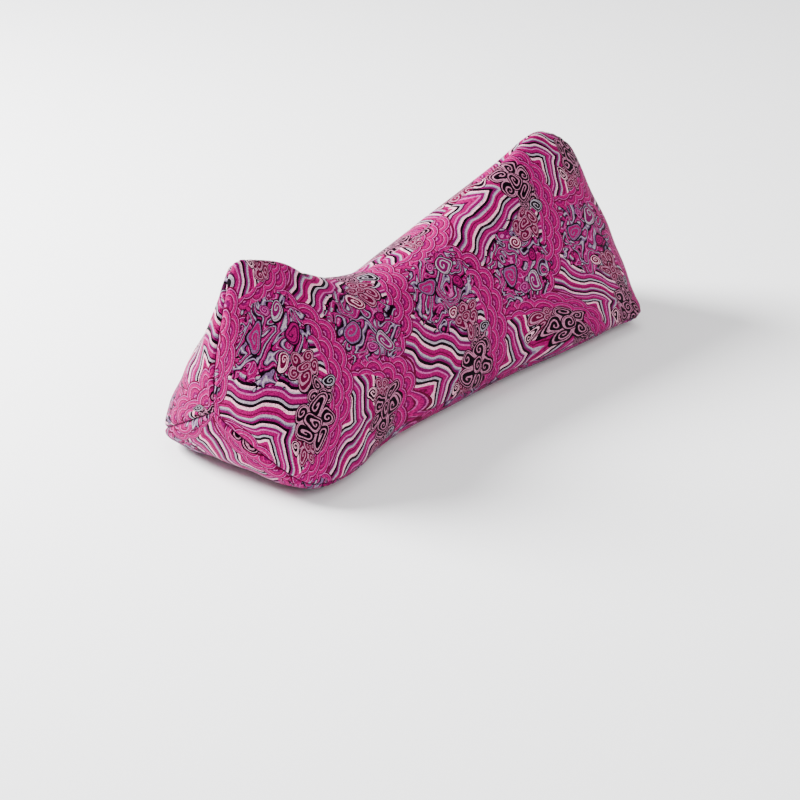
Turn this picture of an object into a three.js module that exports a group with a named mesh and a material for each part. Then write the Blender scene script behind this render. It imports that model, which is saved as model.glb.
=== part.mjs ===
import * as THREE from 'three';

// Three-sided neck pillow, firmly filled, lying on one of its three panels.
// Millimetres, +Z up, long axis along X, origin under the middle of its box, resting on Z = 0.
// The cover is three long panels. Each runs along one side and folds over both ends,
// where the three meet in a Y of seams, so every section across X is a puffed triangle.

// Driving dimensions
const HALF_LENGTH = 210;          // from the middle to the seam point of either end
const CAP_START = 75;             // distance from the middle where the ends begin to round in
const CORNER_PLANE = 190;         // distance from the middle of the plane through the end corners
const DOME = 21;                  // how far the end corners stand back from the seam point
const REST_FLAT = 7;              // how far the bottom panel is pressed flat where it lies

// Sections along X. front, back and bottom are the distances from the long axis to the middle
// of each panel, bulge is a panel's arc radius over that distance, and top and low say how
// sharp the upper and the two lower corners are.
const SECTIONS = [
  { x: -190, front: 62, back: 56, bottom: 62, bulge: 3.5, top: 32, low: 32 },
  { x: -130, front: 60, back: 51, bottom: 61.5, bulge: 3.25, top: 5, low: 8.5 },
  { x: -90, front: 59, back: 45.5, bottom: 61, bulge: 3.1, top: 2.7, low: 6.2 },
  { x: -52, front: 58.5, back: 41, bottom: 61, bulge: 3.0, top: 2.6, low: 6 },
  { x: 0, front: 59.5, back: 47, bottom: 61, bulge: 3.1, top: 2.6, low: 6.2 },
  { x: 60, front: 60.5, back: 53.5, bottom: 61.5, bulge: 3.3, top: 3.9, low: 7.5 },
  { x: 120, front: 61.5, back: 58, bottom: 61.5, bulge: 3.4, top: 10, low: 13 },
  { x: 190, front: 62, back: 62, bottom: 62, bulge: 3.5, top: 32, low: 32 },
];

// Pointed ends of the ridges
const EAR_TOP_NEAR = 0.19;        // extra reach of the upper corner at -X, as a share of its radius
const EAR_TOP_FAR = 0.15;         // the same at +X
const EAR_LOW = 0.02;             // the same for a lower corner of either end
const RIDGE_WIDTH = 3;            // higher values keep the corner shape closer to the ridge
const ROUND_FACE = 3.7;           // how square a panel folds over an end
const ROUND_TOP = 5.2;            // how square the upper ridge folds over an end
const ROUND_LOW = 6.8;            // how square a lower ridge folds over an end

// Corner tips drawn out by hand. ridge counts from the upper one, through -Y, to the one at +Y.
// along is towards the end and out is away from the long axis.
const TIPS = [
  { side: -1, ridge: 0, along: 0, out: 10 },
  { side: -1, ridge: 1, along: 5, out: -2 },
  { side: -1, ridge: 2, along: 0, out: 3 },
  { side: 1, ridge: 0, along: -5, out: 0 },
  { side: 1, ridge: 1, along: 5, out: 3 },
  { side: 1, ridge: 2, along: 5, out: 3 },
];
const TIP_X = 185;                // distance of a tip from the middle, along the long axis
const TIP_RADIUS = 95;            // distance of a tip from the long axis
const TIP_REACH = 27;             // distance over which the drawing out fades
const TIP_FALL = 1.5;             // how steeply it fades over that distance

// Mesh density
const PANEL_STEPS = 20;           // steps across one panel
const CAP_STEPS = 14;             // steps from an end's seam point to where the body starts
const BODY_STEPS = 12;            // steps along the body between the two ends
const RIDGE_CROWDING = 0.55;      // 0 spreads the steps evenly, 1 crowds them at the ridges

// Directions in the section plane, measured from +Y towards +Z
const TOP_RIDGE = Math.PI / 2;
const THIRD = (2 * Math.PI) / 3;
const PANELS = [
  { key: 'front', normal: TOP_RIDGE + THIRD / 2 },
  { key: 'back', normal: TOP_RIDGE - THIRD / 2 },
  { key: 'bottom', normal: -TOP_RIDGE },
];
const AXIS_HEIGHT = SECTIONS[0].bottom - REST_FLAT;

// Tangent of a column at a row of the table, zero at a turning point
function slope(rows, i, key) {
  if (i === 0 || i === rows.length - 1) return 0;
  const before = (rows[i][key] - rows[i - 1][key]) / (rows[i].x - rows[i - 1].x);
  const after = (rows[i + 1][key] - rows[i][key]) / (rows[i + 1].x - rows[i].x);
  return before * after > 0 ? (2 * before * after) / (before + after) : 0;
}

// Smooth value of a column of the section table at x
function along(x, key) {
  const rows = SECTIONS;
  if (x <= rows[0].x) return rows[0][key];
  if (x >= rows[rows.length - 1].x) return rows[rows.length - 1][key];
  const i = rows.findIndex((row) => row.x > x) - 1;
  const span = rows[i + 1].x - rows[i].x;
  const t = (x - rows[i].x) / span;
  const rise = t * t * (3 - 2 * t);
  const leave = t * (1 - t) * (1 - t) * span * slope(rows, i, key);
  const arrive = t * t * (t - 1) * span * slope(rows, i + 1, key);
  return rows[i][key] * (1 - rise) + rows[i + 1][key] * rise + leave + arrive;
}

// 1 on a ridge, 0 in the middle of a panel
function ridgeShare(angle) {
  return ((1 + Math.cos(3 * (angle - TOP_RIDGE))) / 2) ** RIDGE_WIDTH;
}

// 1 at the upper ridge, 0 straight below it
function topShare(angle) {
  return (1 + Math.cos(angle - TOP_RIDGE)) / 2;
}

// Distance from the long axis to a panel's arc in one direction
function arcDistance(angle, middle, bulge) {
  const radius = bulge * middle;
  const toCentre = -(radius - middle);
  const across = Math.cos(angle) * toCentre;
  return across + Math.sqrt(Math.max(across * across + radius * radius - toCentre * toCentre, 0));
}

// Radius of the section at x in one direction: three arcs joined by rounded corners
function sectionRadius(x, angle) {
  const upper = topShare(angle);
  const sharpness = along(x, 'low') * (1 - upper) + along(x, 'top') * upper;
  const bulge = along(x, 'bulge');
  let sum = 0;
  for (const { key, normal } of PANELS) {
    sum += arcDistance(angle - normal, along(x, key), bulge) ** -sharpness;
  }
  const earTop = x < 0 ? EAR_TOP_NEAR : EAR_TOP_FAR;
  const ear = EAR_LOW * (1 - upper ** 2) + earTop * upper ** 2;
  const towardsEnd = Math.max((Math.abs(x) - CAP_START) / (CORNER_PLANE - CAP_START), 0);
  return sum ** (-1 / sharpness) * (1 + ear * ridgeShare(angle) ** 2 * towardsEnd ** 2);
}

// How square the fold over an end is in one direction
function foldPower(angle) {
  const upper = topShare(angle) ** 2;
  const ridge = ROUND_LOW * (1 - upper) + ROUND_TOP * upper;
  const share = ridgeShare(angle);
  return ROUND_FACE * (1 - share) + ridge * share;
}

// Point of an end: turn 0 is the seam point, a quarter turn is where the body starts
function capPoint(side, turn, angle) {
  const power = 2 / foldPower(angle);
  const reach = Math.cos(turn) ** power;
  const x = CAP_START + (HALF_LENGTH - CAP_START) * reach;
  const radius = sectionRadius(side * x, angle) * Math.sin(turn) ** power;
  const corner = sectionRadius(side * CORNER_PLANE, TOP_RIDGE);
  const back = DOME * (radius / corner) ** 2 * reach;
  return sectionPoint(side * (x - back), radius, angle);
}

// Point in space, drawn out near a corner tip and pressed flat where the pillow rests
function sectionPoint(x, radius, angle) {
  const point = new THREE.Vector3(x, radius * Math.cos(angle), radius * Math.sin(angle));
  const moved = point.clone();
  for (const { side, ridge, along: lengthwise, out } of TIPS) {
    const direction = TOP_RIDGE + THIRD * ridge;
    const outward = new THREE.Vector3(0, Math.cos(direction), Math.sin(direction));
    const tip = outward.clone().multiplyScalar(TIP_RADIUS).setX(side * TIP_X);
    const share = Math.exp(-((point.distanceTo(tip) / TIP_REACH) ** TIP_FALL));
    moved.addScaledVector(outward, share * out);
    moved.x += share * side * lengthwise;
  }
  return [moved.x, moved.y, Math.max(AXIS_HEIGHT + moved.z, 0)];
}

// Directions around a ring, crowded towards the ridges
function ringAngles() {
  const angles = [];
  for (let i = 0; i < PANEL_STEPS * PANELS.length; i += 1) {
    const panel = Math.floor(i / PANEL_STEPS);
    const t = (i % PANEL_STEPS) / PANEL_STEPS;
    const crowded = t - (RIDGE_CROWDING * Math.sin(2 * Math.PI * t)) / (2 * Math.PI);
    angles.push(TOP_RIDGE + THIRD * (panel + crowded));
  }
  return angles;
}

// Rings of points from the -X end to the +X end, without the two seam points
function pillowRings() {
  const angles = ringAngles();
  const turns = [];
  for (let i = 1; i <= CAP_STEPS; i += 1) {
    const t = i / CAP_STEPS;
    turns.push((Math.PI / 2) * t * t * (3 - 2 * t));
  }
  const rings = turns.map((turn) => angles.map((angle) => capPoint(-1, turn, angle)));
  for (let i = 1; i < BODY_STEPS; i += 1) {
    const x = CAP_START * ((2 * i) / BODY_STEPS - 1);
    rings.push(angles.map((angle) => sectionPoint(x, sectionRadius(x, angle), angle)));
  }
  for (const turn of [...turns].reverse()) {
    rings.push(angles.map((angle) => capPoint(1, turn, angle)));
  }
  return rings;
}

// Closed skin over the rings, with a fan of triangles at each seam point
function skinOver(rings, startPoint, endPoint) {
  const around = rings[0].length;
  const positions = [startPoint, ...rings.flat(), endPoint];
  const last = positions.length - 1;
  const faces = [];
  const at = (ring, step) => 1 + ring * around + (step % around);
  for (let step = 0; step < around; step += 1) {
    faces.push([0, at(0, step + 1), at(0, step)]);
    for (let ring = 0; ring < rings.length - 1; ring += 1) {
      faces.push([at(ring, step), at(ring + 1, step + 1), at(ring + 1, step)]);
      faces.push([at(ring, step), at(ring, step + 1), at(ring + 1, step + 1)]);
    }
    faces.push([last, at(rings.length - 1, step), at(rings.length - 1, step + 1)]);
  }
  const geometry = new THREE.BufferGeometry();
  geometry.setAttribute('position', new THREE.Float32BufferAttribute(positions.flat(), 3));
  geometry.setIndex(faces.flat());
  geometry.computeVertexNormals();
  return geometry;
}

// The filled pillow in its brocade cover
function makePillow() {
  const startPoint = [-HALF_LENGTH, 0, AXIS_HEIGHT];
  const endPoint = [HALF_LENGTH, 0, AXIS_HEIGHT];
  const geometry = skinOver(pillowRings(), startPoint, endPoint);
  const brocade = new THREE.MeshStandardMaterial({ color: 0xa8327c, roughness: 0.55, metalness: 0 });
  const pillow = new THREE.Mesh(geometry, brocade);
  pillow.name = 'pillow';
  return pillow;
}

const neckPillow = new THREE.Group();
neckPillow.add(makePillow());

export default neckPillow;
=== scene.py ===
import math

import bmesh
import bpy
import numpy as np
from mathutils import Matrix, Vector


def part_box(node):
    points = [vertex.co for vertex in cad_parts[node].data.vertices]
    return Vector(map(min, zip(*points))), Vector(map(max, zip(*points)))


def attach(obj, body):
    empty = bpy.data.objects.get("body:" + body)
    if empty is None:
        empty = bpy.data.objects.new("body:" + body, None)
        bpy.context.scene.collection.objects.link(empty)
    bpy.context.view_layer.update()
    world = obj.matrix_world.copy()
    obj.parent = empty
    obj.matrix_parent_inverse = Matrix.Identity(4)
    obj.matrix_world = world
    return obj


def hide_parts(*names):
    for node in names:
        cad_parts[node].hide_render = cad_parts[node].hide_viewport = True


# Three-sided neck pillow in a woven brocade cover, lying on its bottom panel.
# The scene is in metres. The pillow's own sizes are in millimetres, with its long axis along X.

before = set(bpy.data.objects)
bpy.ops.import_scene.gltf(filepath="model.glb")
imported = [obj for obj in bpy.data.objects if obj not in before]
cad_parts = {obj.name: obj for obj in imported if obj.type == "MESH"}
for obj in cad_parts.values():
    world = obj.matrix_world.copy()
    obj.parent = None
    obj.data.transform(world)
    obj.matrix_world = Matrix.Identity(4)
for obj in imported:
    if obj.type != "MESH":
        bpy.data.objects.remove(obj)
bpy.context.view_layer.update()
MM = 0.001

# Main sizes of the pillow
HALF_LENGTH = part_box("pillow")[1].x / MM    # from the middle to the seam point of either end
CAP_START = 56                   # distance from the middle where the ends begin to round in
CORNER_PLANE = 190               # distance from the middle of the plane through the end corners
DOME = 28                        # how far the end corners stand back from the seam point
REST_FLAT = 7                    # how far the bottom panel is pressed flat where it lies

# Sections along X. front, back and bottom are the distances from the long axis to the middle
# of each panel, bulge is a panel's arc radius over that distance, and top and low say how
# sharp the upper and the two lower corners are.
SECTION_COLUMNS = ("x", "front", "back", "bottom", "bulge", "top", "low")
SECTION_ROWS = (
    (-190, 62, 56, 62, 3.5, 32, 32),
    (-130, 60, 51, 61.5, 3.25, 5, 8.5),
    (-90, 59, 45.5, 61, 3.1, 2.7, 6.2),
    (-52, 58.5, 41, 61, 3.0, 2.6, 6),
    (0, 59.5, 47, 61, 3.1, 2.6, 6.2),
    (60, 60.5, 53.5, 61.5, 3.3, 3.9, 7.5),
    (120, 61.5, 58, 61.5, 3.4, 10, 13),
    (190, 62, 62, 62, 3.5, 32, 32),
)
SECTIONS = dict(zip(SECTION_COLUMNS, np.array(SECTION_ROWS, float).T))

# Pointed ends of the ridges
EAR_TOP_NEAR = 0.172             # extra reach of the upper corner at -X, as a share of its radius
EAR_TOP_FAR = 0.153              # the same at +X
EAR_LOW = -0.05                  # the same for a lower corner of either end
RIDGE_WIDTH = 3                  # higher values keep the corner shape closer to the ridge
ROUND_FACE = 4.4                 # how square a panel folds over an end
ROUND_TOP = 6.3                  # how square the upper ridge folds over an end
ROUND_LOW = 9.6                  # how square a lower ridge folds over an end

# Corner tips drawn out one by one: end, ridge, distance along the axis, distance outwards, and
# the reach over which they fade. Ridges count from the upper one, through -Y, to the one at +Y.
TIPS = (
    (-1, 0, 9.5, 28, 17),
    (-1, 1, 12, 3, 30),
    (-1, 2, 3, 14, 25),
    (1, 0, 9, -11, 19.5),
    (1, 1, 20, 24, 14.5),
    (1, 2, 5, 3, 27),
)
TIP_X = 188                      # distance of a tip from the middle, along the long axis
TIP_RADIUS = 96                  # distance of a tip from the long axis
TIP_FALL = 1.5                   # how steeply it fades over its reach

# Directions in the section plane, measured from +Y towards +Z
TOP_RIDGE = math.pi / 2
THIRD = 2 * math.pi / 3
PANEL_NORMALS = {
    "front": TOP_RIDGE + THIRD / 2,
    "back": TOP_RIDGE - THIRD / 2,
    "bottom": -TOP_RIDGE,
}
PANEL_COUNT = len(PANEL_NORMALS)
AXIS_HEIGHT = SECTIONS["bottom"][0] - REST_FLAT

# Mesh of the cover
PANEL_STEPS = 72                 # steps across one panel
CAP_STEPS = 64                   # steps from an end's seam point to where the body starts
BODY_STEPS = 70                  # steps along the body between the two ends
RIDGE_CROWDING = 0.55            # 0 spreads the steps evenly, 1 crowds them at the ridges
TINY = 1e-6                      # keeps a place inside the table and a length above zero


# Shape of the filled cover

def eased(t):
    """0 to 1, level at both ends."""
    return t * t * (3 - 2 * t)


def slopes(key):
    """Tangent of a column at each row, zero at a turning point and at the ends."""
    steps = np.diff(SECTIONS[key]) / np.diff(SECTIONS["x"])
    before, after = steps[:-1], steps[1:]
    same_way = before * after > 0
    total = np.where(same_way, before + after, 1)
    inner = np.where(same_way, 2 * before * after / total, 0)
    return np.concatenate([[0], inner, [0]])


def along(x, key):
    """Smooth value of a column of the section table at x."""
    stations, values, tangents = SECTIONS["x"], SECTIONS[key], slopes(key)
    x = np.clip(x, stations[0], stations[-1] - TINY)
    i = np.searchsorted(stations, x, side="right") - 1
    span = stations[i + 1] - stations[i]
    t = (x - stations[i]) / span
    leave = t * (1 - t) ** 2 * span * tangents[i]
    arrive = t * t * (t - 1) * span * tangents[i + 1]
    return values[i] * (1 - eased(t)) + values[i + 1] * eased(t) + leave + arrive


def ridge_share(angle):
    """1 on a ridge, 0 in the middle of a panel."""
    return ((1 + np.cos(PANEL_COUNT * (angle - TOP_RIDGE))) / 2) ** RIDGE_WIDTH


def top_share(angle):
    """1 at the upper ridge, 0 straight below it."""
    return (1 + np.cos(angle - TOP_RIDGE)) / 2


def arc_distance(angle, middle, bulge):
    """Distance from the long axis to a panel's arc in one direction."""
    radius = bulge * middle
    to_centre = -(radius - middle)
    across = np.cos(angle) * to_centre
    return across + np.sqrt(np.maximum(across ** 2 + radius ** 2 - to_centre ** 2, 0))


def section_radius(x, angle):
    """Radius of the section at x: three arcs joined by rounded corners."""
    upper = top_share(angle)
    sharpness = along(x, "low") * (1 - upper) + along(x, "top") * upper
    bulge = along(x, "bulge")
    total = 0
    for key, normal in PANEL_NORMALS.items():
        total = total + arc_distance(angle - normal, along(x, key), bulge) ** -sharpness
    ear_top = np.where(x < 0, EAR_TOP_NEAR, EAR_TOP_FAR)
    ear = EAR_LOW * (1 - upper ** 2) + ear_top * upper ** 2
    towards_end = np.maximum((np.abs(x) - CAP_START) / (CORNER_PLANE - CAP_START), 0)
    return total ** (-1 / sharpness) * (1 + ear * ridge_share(angle) ** 2 * towards_end ** 2)


def fold_power(angle):
    """How square the fold over an end is in one direction."""
    upper = top_share(angle) ** 2
    ridge = ROUND_LOW * (1 - upper) + ROUND_TOP * upper
    share = ridge_share(angle)
    return ROUND_FACE * (1 - share) + ridge * share


def cap_ring(side, turn, angles):
    """Ring of an end: turn 0 is the seam point, a quarter turn is where the body starts."""
    power = 2 / fold_power(angles)
    reach = max(math.cos(turn), 0) ** power
    x = CAP_START + (HALF_LENGTH - CAP_START) * reach
    radius = section_radius(side * x, angles) * math.sin(turn) ** power
    corner = section_radius(np.array([side * CORNER_PLANE]), np.array([TOP_RIDGE]))[0]
    back = DOME * (radius / corner) ** 2 * reach
    return ring_points(side * (x - back), radius, angles)


def ring_points(x, radius, angles):
    """Ring of points round the long axis, which is at the origin here."""
    return np.stack([x, radius * np.cos(angles), radius * np.sin(angles)], axis=-1)


def draw_out_tips(points):
    """Draws the corner tips out, each over its own reach."""
    moved = points.copy()
    for side, ridge, lengthwise, out, reach in TIPS:
        direction = TOP_RIDGE + THIRD * ridge
        outward = np.array([0, math.cos(direction), math.sin(direction)])
        tip = TIP_RADIUS * outward + np.array([side * TIP_X, 0, 0])
        gap = np.linalg.norm(points - tip, axis=-1)
        share = np.exp(-((gap / reach) ** TIP_FALL))[..., None]
        moved += share * (outward * out + np.array([side * lengthwise, 0, 0]))
    return moved


def ring_angles():
    """Directions around a ring, crowded towards the ridges."""
    step = np.arange(PANEL_STEPS * PANEL_COUNT)
    t = (step % PANEL_STEPS) / PANEL_STEPS
    crowded = t - RIDGE_CROWDING * np.sin(2 * math.pi * t) / (2 * math.pi)
    return TOP_RIDGE + THIRD * (step // PANEL_STEPS + crowded)


def cover_grid():
    """Grid of rings from the -X seam point to the +X one, both as rings of radius zero."""
    angles = ring_angles()
    cap_turns = math.pi / 2 * eased(np.linspace(0, 1, CAP_STEPS + 1))
    rings = [cap_ring(-1, turn, angles) for turn in cap_turns]
    for x in np.linspace(-CAP_START, CAP_START, BODY_STEPS + 1)[1:-1]:
        station = np.full_like(angles, x)
        rings.append(ring_points(station, section_radius(station, angles), angles))
    rings += [cap_ring(1, turn, angles) for turn in cap_turns[::-1]]
    return draw_out_tips(np.array(rings))


def cloth_lengths(grid):
    """Per panel: distance along its middle line, and across from that line, on every ring."""
    panels = []
    ring_count, around = grid.shape[:2]
    for panel in range(PANEL_COUNT):
        columns = (panel * PANEL_STEPS + np.arange(PANEL_STEPS + 1)) % around
        strip = grid[:, columns]
        steps_along = np.linalg.norm(np.diff(strip[:, PANEL_STEPS // 2], axis=0), axis=1)
        lengthwise = np.concatenate([[0], np.cumsum(steps_along)])
        lengthwise -= lengthwise[ring_count // 2]
        steps_across = np.linalg.norm(np.diff(strip, axis=1), axis=2)
        across = np.concatenate([np.zeros((ring_count, 1)), np.cumsum(steps_across, axis=1)], axis=1)
        across -= across[:, PANEL_STEPS // 2][:, None]
        panels.append((np.repeat(lengthwise[:, None], PANEL_STEPS + 1, axis=1), across))
    return panels


# Seams and soft unevenness
SEAM_DEPTH = 1.3                 # how far an end seam is drawn in
SEAM_WIDTH = 1.6                 # distance from the seam over which that fades
LONG_SEAM_SHARE = 0.35           # how much of the seam shape shows along the body
PUFF_HEIGHT = 0.7                # swelling beside a seam
PUFF_WIDTH = 7                   # distance of its top from the seam, and half its width
PUCKER_HEIGHT = 0.55             # small gathers across an end seam
PUCKER_PITCH = 8.5               # distance from one gather to the next
PUCKER_START = 2                 # distance from the seam where the gathers are full
PUCKER_REACH = 9                 # distance over which they fade
PUCKER_DRIFT = 1.7               # how unevenly they follow each other
PUCKER_DRIFT_LENGTH = 13         # distance over which that changes
FLAP_START = 150                 # distance from the middle where the end seams begin to show
FLAP_RISE = 30                   # distance over which they come in
SETTLE_HEIGHT = 1.1              # slow unevenness of the filling
FIRST_SETTLE = (23, 19, 17)      # lengths of its first wave along X, Y and Z
SECOND_SETTLE = (41, 33, 28)     # the same for its second wave
SETTLE_OFFSET = 1                # how far the second wave is out of step with the first


def seam_gap(panels):
    """Distance in the cloth from every point of the grid to the nearest seam."""
    gaps = []
    for _, across in panels:
        edge = np.minimum(across - across[:, :1], across[:, -1:] - across)
        gaps.append(edge[:, :-1])
    return np.concatenate(gaps, axis=1)


def end_share(grid):
    """1 on the end flaps, falling to 0 further in."""
    return np.clip((np.abs(grid[..., 0]) - FLAP_START) / FLAP_RISE, 0, 1)


def grid_normals(grid):
    """Outward unit normals of the grid."""
    lengthwise = np.gradient(grid, axis=0)
    around = np.roll(grid, -1, axis=1) - np.roll(grid, 1, axis=1)
    normal = np.cross(around, lengthwise)
    size = np.linalg.norm(normal, axis=-1, keepdims=True)
    normal = normal / np.maximum(size, TINY)
    normal[0] = (-1, 0, 0)
    normal[-1] = (1, 0, 0)
    return normal


def seam_relief(grid, gap, lengthwise):
    """Groove of each seam, the swelling beside it and the gathers across it."""
    ends = end_share(grid)
    share = LONG_SEAM_SHARE + (1 - LONG_SEAM_SHARE) * ends
    groove = -SEAM_DEPTH * np.exp(-((gap / SEAM_WIDTH) ** 2))
    puff = PUFF_HEIGHT * np.exp(-(((gap - PUFF_WIDTH) / PUFF_WIDTH) ** 2))
    drift = PUCKER_DRIFT * np.sin(lengthwise / PUCKER_DRIFT_LENGTH)
    wave = np.sin(2 * math.pi * lengthwise / PUCKER_PITCH + drift)
    fade = np.exp(-gap / PUCKER_REACH) * np.clip(gap / PUCKER_START, 0, 1)
    pucker = PUCKER_HEIGHT * wave * fade
    return share * (groove + puff + pucker * ends)


def settled_relief(grid):
    """Slow hollows and swellings of the filling."""
    x, y, z = np.moveaxis(grid / np.array(FIRST_SETTLE), -1, 0)
    first = np.sin(x + np.sin(z)) * np.cos(y)
    x, y, z = np.moveaxis(grid / np.array(SECOND_SETTLE), -1, 0)
    second = np.sin(x - z + SETTLE_OFFSET) * np.sin(y + z)
    return SETTLE_HEIGHT * (first + second) / 2


def cover_surface():
    """Final grid of the cover, its cloth coordinates and its distance to the seams."""
    base = cover_grid()
    panels = cloth_lengths(base)
    gap = seam_gap(panels)
    lengthwise = np.concatenate([panel_lengths[:, :-1] for panel_lengths, _ in panels], axis=1)
    relief = seam_relief(base, gap, lengthwise) + settled_relief(base)
    shaped = base + grid_normals(base) * relief[..., None]
    shaped[0] = shaped[0].mean(axis=0)
    shaped[-1] = shaped[-1].mean(axis=0)
    shaped[..., 2] = np.maximum(shaped[..., 2] + AXIS_HEIGHT, 0)
    return shaped, panels, gap


# Place of the woven design on the front, bottom and back panel, in millimetres of cloth
PANEL_SHIFT = ((205, -25), (120, 40), (122, -8))
PANEL_SKEW = 0.09                # how far the design runs off the grain, per millimetre

# Layout of the panels in the bake, one above the other, in millimetres of cloth
BAKE_HALF_LENGTH = 250           # half the length that the bake covers
BAKE_HALF_WIDTH = 78             # half the width of each panel's strip

# Closing of the seam points
POLE_ZONE = 4                    # distance from either end within which points are merged
MERGE_DISTANCE = 0.02            # largest gap between points that are merged

# Corners of a quad: steps on to the next ring and to the next point of a ring
QUAD_CORNERS = ((0, 0), (0, 1), (1, 1), (1, 0))


def quad_starts(ring_count, around):
    """Ring and step of the first corner of every quad."""
    return np.meshgrid(np.arange(ring_count - 1), np.arange(around), indexing="ij")


def cover_faces(ring_count, around):
    """Quads of the grid, ring by ring, as indices into it."""
    ring, step = quad_starts(ring_count, around)
    corners = [(ring + i) * around + (step + j) % around for i, j in QUAD_CORNERS]
    return np.stack(corners, axis=-1).reshape(-1, len(QUAD_CORNERS))


def corner_values(panels, ring_count, around):
    """Cloth coordinates at the corners of every quad, and the panel that it belongs to."""
    ring, step = quad_starts(ring_count, around)
    panel, column = step // PANEL_STEPS, step % PANEL_STEPS
    lengthwise = np.stack([panel_lengths for panel_lengths, _ in panels])
    across = np.stack([panel_widths for _, panel_widths in panels])
    u = np.stack([lengthwise[panel, ring + i, column + j] for i, j in QUAD_CORNERS], axis=-1)
    v = np.stack([across[panel, ring + i, column + j] for i, j in QUAD_CORNERS], axis=-1)
    return u.ravel(), v.ravel(), np.repeat(panel.ravel(), len(QUAD_CORNERS))


def bake_place(u, v, panel):
    """Place in the bake, from 0 to 1 both ways."""
    bake_u = 0.5 + u / (2 * BAKE_HALF_LENGTH)
    bake_v = (panel + 0.5 + v / (2 * BAKE_HALF_WIDTH)) / PANEL_COUNT
    return bake_u, bake_v


def design_place(u, v, panel):
    """Place in the woven design, in millimetres."""
    shift_u, shift_v = np.array(PANEL_SHIFT, float)[panel].T
    return u + PANEL_SKEW * v + shift_u, v - PANEL_SKEW * u + shift_v


def add_layer(mesh, name, place):
    """Adds a layer of coordinates at the corners of the faces."""
    layer = mesh.uv_layers.new(name=name)
    layer.data.foreach_set("uv", np.stack(place, axis=-1).ravel())


def add_point_values(mesh, name, values):
    """Adds a number at every point, for the material to read."""
    attribute = mesh.attributes.new(name, "FLOAT", "POINT")
    attribute.data.foreach_set("value", values.ravel())


def close_poles(mesh):
    """Merges the two rings of radius zero into the seam points."""
    work = bmesh.new()
    work.from_mesh(mesh)
    inner = (HALF_LENGTH - POLE_ZONE) * MM
    ends = [vertex for vertex in work.verts if abs(vertex.co.x) > inner]
    bmesh.ops.remove_doubles(work, verts=ends, dist=MERGE_DISTANCE * MM)
    work.to_mesh(mesh)
    work.free()


def build_cover():
    """The cover as one closed mesh with two layers of cloth coordinates."""
    grid, panels, gap = cover_surface()
    ring_count, around = grid.shape[:2]
    faces = cover_faces(ring_count, around)
    mesh = bpy.data.meshes.new("pillow_cover")
    mesh.from_pydata((grid.reshape(-1, 3) * MM).tolist(), [], faces.tolist())
    mesh.polygons.foreach_set("use_smooth", [True] * len(faces))
    corners = corner_values(panels, ring_count, around)
    add_layer(mesh, "OFBake", bake_place(*corners))
    add_layer(mesh, "Cloth", design_place(*corners))
    add_point_values(mesh, "seam_gap", gap)
    add_point_values(mesh, "end_share", end_share(grid))
    close_poles(mesh)
    mesh.materials.append(brocade_material())
    cover = bpy.data.objects.new("pillow_cover", mesh)
    bpy.context.scene.collection.objects.link(cover)
    return cover


# Numbers and colours that vary over the cloth, worked out by shader nodes

# Sockets of a mix node when it mixes colours
MIX_SHARE = 0
MIX_UNDER = 6
MIX_OVER = 7
MIX_RESULT = 2


class Field:
    """The number that a node gives out, with arithmetic that adds further nodes."""

    def __init__(self, cloth, socket):
        self.cloth = cloth
        self.socket = socket

    def __add__(self, other):
        return self.cloth.compute("ADD", self, other)

    def __radd__(self, other):
        return self.cloth.compute("ADD", other, self)

    def __sub__(self, other):
        return self.cloth.compute("SUBTRACT", self, other)

    def __rsub__(self, other):
        return self.cloth.compute("SUBTRACT", other, self)

    def __mul__(self, other):
        return self.cloth.compute("MULTIPLY", self, other)

    def __rmul__(self, other):
        return self.cloth.compute("MULTIPLY", other, self)

    def __truediv__(self, other):
        return self.cloth.compute("DIVIDE", self, other)

    def __lt__(self, other):
        """1 where it holds, 0 elsewhere."""
        return self.cloth.compute("LESS_THAN", self, other)

    def __gt__(self, other):
        """1 where it holds, 0 elsewhere."""
        return self.cloth.compute("GREATER_THAN", self, other)


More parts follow.
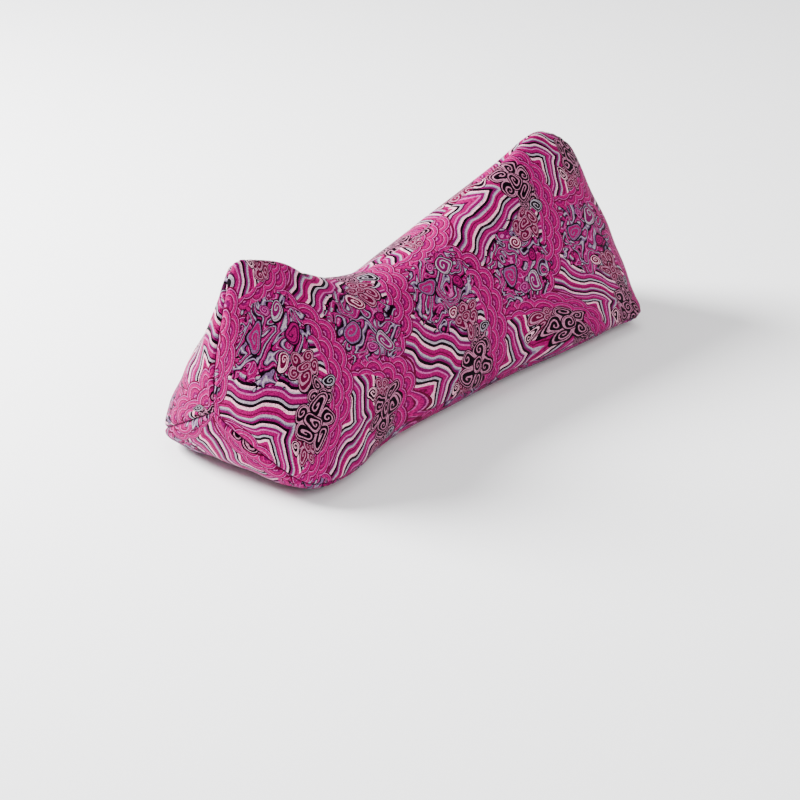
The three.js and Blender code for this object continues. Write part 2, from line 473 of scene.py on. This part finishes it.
class Cloth:
    """A material being put together from nodes."""

    def __init__(self, name):
        self.material = bpy.data.materials.new(name)
        self.material.use_nodes = True
        self.tree = self.material.node_tree
        self.tree.nodes.clear()

    def feed(self, socket, value):
        """Links a field or colour to a socket, or sets a plain value on it."""
        if isinstance(value, Field):
            self.tree.links.new(value.socket, socket)
        elif isinstance(value, bpy.types.NodeSocket):
            self.tree.links.new(value, socket)
        else:
            socket.default_value = value

    def compute(self, operation, *values):
        """The result of a math node."""
        node = self.tree.nodes.new("ShaderNodeMath")
        node.operation = operation
        for socket, value in zip(node.inputs, values):
            self.feed(socket, value)
        return Field(self, node.outputs[0])

    def choose(self, share, first, second):
        """first where share is 0, second where it is 1."""
        node = self.tree.nodes.new("ShaderNodeMix")
        self.feed(node.inputs["Factor"], share)
        self.feed(node.inputs["A"], first)
        self.feed(node.inputs["B"], second)
        return Field(self, node.outputs["Result"])

    def cover(self, share, under, over):
        """The colour under with the colour over laid on it by share."""
        node = self.tree.nodes.new("ShaderNodeMix")
        node.data_type = "RGBA"
        self.feed(node.inputs[MIX_SHARE], share)
        self.feed(node.inputs[MIX_UNDER], under)
        self.feed(node.inputs[MIX_OVER], over)
        return node.outputs[MIX_RESULT]

    def shade(self, colour, brightness):
        """The colour times a brightness."""
        node = self.tree.nodes.new("ShaderNodeVectorMath")
        node.operation = "SCALE"
        self.feed(node.inputs["Vector"], colour)
        self.feed(node.inputs["Scale"], brightness)
        return node.outputs["Vector"]

    def bands(self, field, stops):
        """Bands of plain colour: each stop is where a band starts and its colour."""
        node = self.tree.nodes.new("ShaderNodeValToRGB")
        ramp = node.color_ramp
        ramp.interpolation = "CONSTANT"
        ramp.elements.remove(ramp.elements[1])
        first = ramp.elements[0]
        first.position, first.color = stops[0]
        for position, colour in stops[1:]:
            ramp.elements.new(position).color = colour
        self.feed(node.inputs["Fac"], field)
        return node.outputs["Color"]

    def noise(self, u, v, size, detail=1.0):
        """Smooth noise from 0 to 1 with features of about that size."""
        place = self.tree.nodes.new("ShaderNodeCombineXYZ")
        self.feed(place.inputs["X"], u)
        self.feed(place.inputs["Y"], v)
        node = self.tree.nodes.new("ShaderNodeTexNoise")
        node.noise_dimensions = "2D"
        self.feed(node.inputs["Vector"], place.outputs["Vector"])
        node.inputs["Scale"].default_value = 1 / size
        node.inputs["Detail"].default_value = detail
        return Field(self, node.outputs[0])

    def swing(self, u, v, size, height, detail=1.0):
        """The same noise about 0, times a height."""
        return (self.noise(u, v, size, detail) - 0.5) * height

    def attribute(self, name):
        """A number kept at the points of the mesh."""
        node = self.tree.nodes.new("ShaderNodeAttribute")
        node.attribute_name = name
        return Field(self, node.outputs["Fac"])

    def coordinates(self, layer):
        """The two coordinates of a layer."""
        node = self.tree.nodes.new("ShaderNodeUVMap")
        node.uv_map = layer
        split = self.tree.nodes.new("ShaderNodeSeparateXYZ")
        self.feed(split.inputs["Vector"], node.outputs["UV"])
        return Field(self, split.outputs["X"]), Field(self, split.outputs["Y"])

    def surface(self, colour, roughness):
        """The material's shader, with its colour and roughness."""
        shader = self.tree.nodes.new("ShaderNodeBsdfPrincipled")
        self.feed(shader.inputs["Base Color"], colour)
        shader.inputs["Roughness"].default_value = roughness
        output = self.tree.nodes.new("ShaderNodeOutputMaterial")
        self.feed(output.inputs["Surface"], shader.outputs["BSDF"])
        return shader


def fraction(field):
    """What is left of the field past a whole number."""
    return field.cloth.compute("FRACT", field)


def sine(field):
    """Sine of an angle in radians."""
    return field.cloth.compute("SINE", field)


def cosine(field):
    """Cosine of an angle in radians."""
    return field.cloth.compute("COSINE", field)


def larger(first, second):
    """The larger of two fields."""
    return first.cloth.compute("MAXIMUM", first, second)


def smaller(first, second):
    """The smaller of two fields."""
    return first.cloth.compute("MINIMUM", first, second)


def distance(x, y):
    """Distance of (x, y) from the origin."""
    return x.cloth.compute("SQRT", x * x + y * y)


def bearing(x, y):
    """Direction of (x, y) as a share of a full turn."""
    return x.cloth.compute("ARCTAN2", y, x) / (2 * math.pi)


def centred(field, period):
    """The field folded into one period about 0."""
    return (fraction(field / period + 0.5) - 0.5) * period


# Yarn colours, linear. BLACK is also the painted shade in the seams.
CREAM = (0.74, 0.35, 0.47, 1)
SILVER = (0.31, 0.25, 0.31, 1)
LILAC = (0.13, 0.07, 0.15, 1)
ROSE = (0.36, 0.13, 0.22, 1)
PALE_PINK = (0.4, 0.07, 0.24, 1)
HOT_PINK = (0.3, 0.0, 0.1, 1)
PINK = (0.23, 0.0, 0.08, 1)
MAGENTA = (0.13, 0.0, 0.06, 1)
PLUM = (0.04, 0.0, 0.022, 1)
CRIMSON = (0.08, 0.0, 0.02, 1)
BLACK = (0.002, 0.0, 0.002, 1)

# Slow drift of the whole weave. All lengths of the design are in millimetres of cloth.
DRIFT = 4.5                      # how far it drifts
DRIFT_LENGTH = 35                # length of its waves
DRIFT_OFFSET = 1                 # how far the drift along is out of step with the drift across

# Layout of the hills
HILL_PERIOD_U = 168              # hills repeat along the pillow
HILL_PERIOD_V = 128              # and across it, every other row half a period on
RIM_COUNT = 24                   # scallops round a whole hill
RIM_RADIUS = 67                  # radius of the ring of a hill's outermost scallop centres
RIM_STEP = 9                     # distance from one row of scallops to the next
BAND_ROWS = 3                    # rows of scallops in a hill's band
BAND_START = 56                  # radius where the band begins
SCALLOP_RADIUS = 12
FAN_CENTRE = (-42, 20)           # place of a single fan on a hill
FAN_RADIUS = 21

# Rings of one scallop: share of its radius where each starts
SCALLOP_RINGS = (
    (0.0, MAGENTA), (0.14, PALE_PINK), (0.2, MAGENTA), (0.36, HOT_PINK), (0.44, PINK),
    (0.54, CRIMSON), (0.6, PALE_PINK), (0.65, HOT_PINK), (0.8, MAGENTA), (0.86, PALE_PINK),
    (0.91, CRIMSON),
)

# Stripes of the waves: where each starts within one repeat
STRIPE_REPEAT = 27
STRIPES = (
    (0.0, CREAM), (2.1, PINK), (4.8, CRIMSON), (5.6, PINK), (7.3, SILVER), (8.8, LILAC),
    (9.8, MAGENTA), (11.3, BLACK), (13.4, CREAM), (14.9, SILVER), (15.9, MAGENTA),
    (18.0, PALE_PINK), (19.2, PINK), (22.0, PLUM), (23.2, SILVER), (24.8, BLACK),
)

# Chevrons of the stripes
UPPER_STRIPES = (-0.47, 0.88)    # direction across the first set
LOWER_STRIPES = (-0.9, -0.44)    # direction across the second set
FOLD_OFFSET = 35                 # how far the second set is moved on, which places the fold
WAVE_HEIGHT = 2.1
WAVE_LENGTH = 35
WAVE_UNEVENNESS = 0.35           # how unevenly the waves follow each other
WAVE_UNEVEN_RATE = 1.7           # how quickly that changes, over the rate of the waves

# Lines of the curling spray: share of one repeat where each starts
SPRAY_LINES = (
    (0.0, BLACK), (0.12, LILAC), (0.22, SILVER), (0.33, LILAC), (0.42, BLACK),
    (0.52, PINK), (0.66, MAGENTA), (0.74, PALE_PINK), (0.82, PINK), (0.93, PLUM),
)
SPRAY_REPEATS = 4.2              # repeats from the lowest to the highest value of the noise
SPRAY_SIZE = 16                  # size of its curls
SPRAY_DETAIL = 0.5               # how much finer noise is on top
BEND = 46                        # how far its curls are bent
BEND_SIZE = 22                   # size of the bends

# Patch of spray on a hill
SPRAY_CENTRE = (20, -38)
SPRAY_FLATTENING = 1.1           # how much shorter it is across the pillow than along it
SPRAY_RADIUS = 31
SPRAY_OUTLINE = 1.5              # width of its dark edge
SPRAY_TEAR = 34                  # how ragged its edge is
TEAR_SIZE = 8                    # size of the tears in it

# Wandering of the spray, clouds and curls, as drawn by hand
WANDER = 9                       # how far a line wanders
WANDER_SIZE = 15                 # distance over which it does
WANDER_DETAIL = 0                # no finer noise on top, so that lines stay smooth

# One curl
CURL_TURNS = 2.2                 # turns of its line
CURL_LINE = 0.3                  # the line's share of a turn
CURL_RIM = 0.77                  # share of the radius where its rim starts
CURL_OUTLINE = 0.86              # share of the radius where its outline starts

# Single curls: place on the hill, radius, ground and line
CURLS = (
    (22, -19, 6, CRIMSON, CREAM), (55, 4, 5, BLACK, SILVER), (14, 38, 5.5, BLACK, CREAM),
    (7, -42, 8.5, PINK, LILAC), (31, -52, 7.5, MAGENTA, SILVER), (36, -34, 6, PINK, PLUM),
    (18, -56, 5, MAGENTA, PALE_PINK),
)

# Clusters of clouds: place on the hill, size, turn and ground
CLUSTERS = (
    (26, 42, 0.9, 0.6, CRIMSON), (38, -10, 1.05, 0.1, CRIMSON), (46, 10, 0.85, 0.8, BLACK),
    (38, 27, 1.4, 0.4, BLACK),
)
CLUSTER_LOBES = 5                # lobes round the heart of a cluster
LOBE_RING = 8.2                  # distance of a lobe's centre from the heart
LOBE_RADIUS = 5.8
HEART_RADIUS = 5.2


def scallop_share(radius, turn, row):
    """Distance to the nearest scallop centre of a row, over the scallop's radius.

    Row 0 is the outermost one, and every other row is half a scallop on.
    """
    ring = RIM_RADIUS - row * RIM_STEP
    stagger = (row % 2) / 2
    pitch = 2 * math.pi * ring / RIM_COUNT
    sideways = (fraction(turn * RIM_COUNT + stagger) - 0.5) * pitch
    return distance(radius - ring, sideways) / SCALLOP_RADIUS


def hill(u, v):
    """Place in the nearest hill of one lattice and whether the point is on that hill."""
    du = centred(u, HILL_PERIOD_U)
    dv = centred(v, HILL_PERIOD_V)
    radius = distance(du, dv)
    rim = scallop_share(radius, bearing(du, dv), 0)
    return du, dv, larger(rim < 1.0, radius < RIM_RADIUS)


def nearest_hill(cloth, u, v):
    """Place in the hill that lies on top. Every other row is the other way up."""
    first_u, first_v, on_first = hill(u, v)
    second_u, second_v, on_second = hill(u - HILL_PERIOD_U / 2, v - HILL_PERIOD_V / 2)
    takes_second = on_second * larger(1 - on_first, second_u > first_u)
    du = cloth.choose(takes_second, first_u, second_u)
    dv = cloth.choose(takes_second, first_v, 0 - second_v)
    return du, dv


def waved(du, dv, across):
    """Distance across a set of stripes, with their waves."""
    run = (du * across[1] - dv * across[0]) * (2 * math.pi / WAVE_LENGTH)
    wave = sine(run + WAVE_UNEVENNESS * sine(run * WAVE_UNEVEN_RATE))
    return du * across[0] + dv * across[1] + wave * WAVE_HEIGHT


def stripe_colour(cloth, du, dv):
    """Waving stripes, folded into chevrons."""
    phase = smaller(waved(du, dv, UPPER_STRIPES), waved(du, dv, LOWER_STRIPES) + FOLD_OFFSET)
    stops = [(start / STRIPE_REPEAT, colour) for start, colour in STRIPES]
    return cloth.bands(fraction(phase / STRIPE_REPEAT), stops)


def lay_fan(cloth, under, du, dv):
    """A single fan of rings on the stripes."""
    share = distance(du - FAN_CENTRE[0], dv - FAN_CENTRE[1]) / FAN_RADIUS
    return cloth.cover(share < 1.0, under, cloth.bands(share, SCALLOP_RINGS))


def lay_band(cloth, under, radius, turn):
    """The scallops round a hill, where each row covers the edge of the row outside it."""
    share = scallop_share(radius, turn, 0)
    for row in range(1, BAND_ROWS):
        inner = scallop_share(radius, turn, row)
        share = cloth.choose(inner < 1.0, share, inner)
    on_band = (radius > BAND_START) * (radius < RIM_RADIUS + SCALLOP_RADIUS)
    return cloth.cover(on_band, under, cloth.bands(share, SCALLOP_RINGS))


def spray_colour(cloth, u, v):
    """Curling lines of spray, from contours of bent noise."""
    bend = cloth.swing(u, v, BEND_SIZE, BEND)
    height = cloth.noise(u + bend, v - bend, SPRAY_SIZE, SPRAY_DETAIL)
    return cloth.bands(fraction(height * SPRAY_REPEATS), SPRAY_LINES)


def lay_patch(cloth, under, spray, tear, loose_u, loose_v):
    """The ragged patch of spray on a hill, with its dark edge."""
    patch_u = loose_u - SPRAY_CENTRE[0]
    patch_v = (loose_v - SPRAY_CENTRE[1]) * SPRAY_FLATTENING
    ragged = distance(patch_u, patch_v) + tear
    edged = cloth.cover(ragged < SPRAY_RADIUS + SPRAY_OUTLINE, under, BLACK)
    return cloth.cover(ragged < SPRAY_RADIUS, edged, spray)


def curl_share(x, y, radius):
    """Distance from a curl's centre over its radius, and its spiral from 0 to 1."""
    share = distance(x, y) / radius
    return share, fraction(share * CURL_TURNS - bearing(x, y))


def lay_curl(cloth, under, share, spiral, ground, line):
    """A spiral line on its ground with a rim of that line and a dark outline."""
    lines = cloth.cover(spiral < CURL_LINE, ground, line)
    rimmed = cloth.cover(share > CURL_RIM, lines, line)
    outlined = cloth.cover(share > CURL_OUTLINE, rimmed, BLACK)
    return cloth.cover(share < 1.0, under, outlined)


def cluster_share(cloth, x, y, size, turn):
    """Share and spiral of the lobe or heart of a cloud cluster that the point is on."""
    around = distance(x, y)
    sector = fraction(bearing(x, y) * CLUSTER_LOBES + turn) - 0.5
    bend = sector * (2 * math.pi / CLUSTER_LOBES)
    lobe_x = around * cosine(bend) - LOBE_RING * size
    lobe_y = around * sine(bend)
    lobe, lobe_spiral = curl_share(lobe_x, lobe_y, LOBE_RADIUS * size)
    heart, heart_spiral = curl_share(x, y, HEART_RADIUS * size)
    on_heart = heart < 1.0
    return cloth.choose(on_heart, lobe, heart), cloth.choose(on_heart, lobe_spiral, heart_spiral)


def wandering(cloth, u, v):
    """A slow offset of the drawing, as by hand."""
    return cloth.swing(u, v, WANDER_SIZE, WANDER, WANDER_DETAIL)


def brocade_colour(cloth, plain_u, plain_v):
    """The woven design, layer on layer."""
    u = plain_u + DRIFT * sine(plain_v / DRIFT_LENGTH + DRIFT_OFFSET)
    v = plain_v + DRIFT * sine(plain_u / DRIFT_LENGTH)
    du, dv = nearest_hill(cloth, u, v)
    radius = distance(du, dv)
    loose_u = du + wandering(cloth, u, v)
    loose_v = dv + wandering(cloth, v, u)
    spray = spray_colour(cloth, u, v)
    tear = cloth.swing(du, dv, TEAR_SIZE, SPRAY_TEAR)

    colour = stripe_colour(cloth, du, dv)
    colour = lay_fan(cloth, colour, du, dv)
    colour = lay_band(cloth, colour, radius, bearing(du, dv))
    colour = lay_patch(cloth, colour, spray, tear, loose_u, loose_v)
    colour = cloth.cover(radius > RIM_RADIUS + SCALLOP_RADIUS, colour, spray)
    for centre_u, centre_v, size, turn, ground in CLUSTERS:
        x, y = loose_u - centre_u, loose_v - centre_v
        share, spiral = cluster_share(cloth, x, y, size, turn)
        colour = lay_curl(cloth, colour, share, spiral, ground, ROSE)
    for centre_u, centre_v, size, ground, line in CURLS:
        share, spiral = curl_share(loose_u - centre_u, loose_v - centre_v, size)
        colour = lay_curl(cloth, colour, share, spiral, ground, line)
    return colour


# Surface of the weave, and the painted shade in its seams
SEAM_SHADE_LINE = 0.7                  # half width of the painted shade line in a seam, in millimetres
SEAM_SHADE_STRENGTH = 0.75             # share of black in the painted seam shade on the end flaps, where the creases are deepest
LONG_SEAM_SHADE_STRENGTH = 0.22        # the same along the body, where the creases are shallower
YARN_SIZE = 0.9                  # size of the yarns' grain, in millimetres
YARN_VARIATION = 2.1             # how much lighter and darker the grain is
BROCADE_ROUGHNESS = 0.5
BROCADE_SPECULAR = 0.02
BUMP_STRENGTH = 0.5
BUMP_DISTANCE = 0.0008           # height of the grain, in metres


def lay_seam_shade(cloth, under):
    """Painted shade: a dark line in each seam, darker on the end flaps."""
    # Painted shade: the seam creases are drawn as a dark line, stronger on the end flaps.
    shade_strength = cloth.choose(cloth.attribute("end_share"), LONG_SEAM_SHADE_STRENGTH, SEAM_SHADE_STRENGTH)
    on_shade_line = cloth.attribute("seam_gap") < SEAM_SHADE_LINE
    return cloth.cover(on_shade_line * shade_strength, under, BLACK)


def brocade_material():
    """Silky brocade with painted shade in the seams and the grain of its yarns."""
    cloth = Cloth("brocade")
    u, v = cloth.coordinates("Cloth")
    grain = cloth.noise(u, v, YARN_SIZE)
    # The painted shade of the seams goes over the woven design.
    colour = lay_seam_shade(cloth, brocade_colour(cloth, u, v))
    colour = cloth.shade(colour, 1 + (grain - 0.5) * YARN_VARIATION)
    surface = cloth.surface(colour, BROCADE_ROUGHNESS)
    surface.inputs["Specular IOR Level"].default_value = BROCADE_SPECULAR
    bump = cloth.tree.nodes.new("ShaderNodeBump")
    bump.inputs["Strength"].default_value = BUMP_STRENGTH
    bump.inputs["Distance"].default_value = BUMP_DISTANCE
    cloth.feed(bump.inputs["Height"], grain)
    cloth.feed(surface.inputs["Normal"], bump.outputs["Normal"])
    return cloth.material


# Floor
FLOOR_SIZE = 12                  # side of its square, in metres
FLOOR_COLOUR = (0.91, 0.91, 0.92, 1)
FLOOR_ROUGHNESS = 0.9

# Camera as in the photograph, in metres, with its roll in degrees and its lens in millimetres
CAMERA_TARGET = (-0.025, -0.011, -0.0025)
CAMERA_DIRECTION = (-0.6948, -0.5782, 0.4276)    # from the target to the camera
CAMERA_DISTANCE = 1.847          # between the two
CAMERA_ROLL = -1.15
CAMERA_LENS = 112.9
CAMERA_SENSOR = 36

# Lamps: direction from the pillow, distance and size in metres, and power in watts
LAMPS = {
    "left": ((-0.5, 1.2, 0.9), 1.6, 0.8, 140),
    "front": ((-0.4, -1.0, 0.9), 2.2, 1.6, 38),
    "above": ((0.3, 0.1, 1.0), 2.2, 1.8, 22),
}
LAMP_TARGET = (0, 0, 0.07)
WORLD_COLOUR = (1, 1, 1, 1)
WORLD_BRIGHTNESS = 0.5


def floor_material():
    """Pale and matt, for the floor."""
    cloth = Cloth("floor")
    cloth.surface(FLOOR_COLOUR, FLOOR_ROUGHNESS)
    return cloth.material


def build_floor():
    """A pale floor that reaches past the picture."""
    half = FLOOR_SIZE / 2
    corners = [(-half, -half, 0), (half, -half, 0), (half, half, 0), (-half, half, 0)]
    mesh = bpy.data.meshes.new("floor")
    mesh.from_pydata(corners, [], [(0, 1, 2, 3)])
    mesh.materials.append(floor_material())
    floor = bpy.data.objects.new("floor", mesh)
    bpy.context.scene.collection.objects.link(floor)


def aim(item, direction, target, far, roll=0.0):
    """Places a camera or lamp so that it looks at the target from that direction."""
    backwards = Vector(direction).normalized()
    turned = backwards.to_track_quat("Z", "Y").to_matrix() @ Matrix.Rotation(roll, 3, "Z")
    place = Vector(target) + backwards * far
    item.matrix_world = Matrix.Translation(place) @ turned.to_4x4()


def build_camera():
    """The camera, at the photograph's viewing angle."""
    data = bpy.data.cameras.new("camera")
    data.lens = CAMERA_LENS
    data.sensor_width = CAMERA_SENSOR
    camera = bpy.data.objects.new("camera", data)
    bpy.context.scene.collection.objects.link(camera)
    bpy.context.scene.camera = camera
    aim(camera, CAMERA_DIRECTION, CAMERA_TARGET, CAMERA_DISTANCE, math.radians(CAMERA_ROLL))


def build_lamps():
    """Soft round lamps, which all look at the middle of the pillow."""
    for name, (direction, far, size, power) in LAMPS.items():
        data = bpy.data.lights.new(name, "AREA")
        data.shape = "DISK"
        data.size = size
        data.energy = power
        lamp = bpy.data.objects.new(name, data)
        bpy.context.scene.collection.objects.link(lamp)
        aim(lamp, direction, LAMP_TARGET, far)


def build_world():
    """Even white light from all sides."""
    world = bpy.data.worlds.new("studio")
    world.use_nodes = True
    background = world.node_tree.nodes["Background"]
    background.inputs["Color"].default_value = WORLD_COLOUR
    background.inputs["Strength"].default_value = WORLD_BRIGHTNESS
    bpy.context.scene.world = world


cover = build_cover()
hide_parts("pillow")
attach(cover, "root")
build_floor()
build_camera()
build_lamps()
build_world()
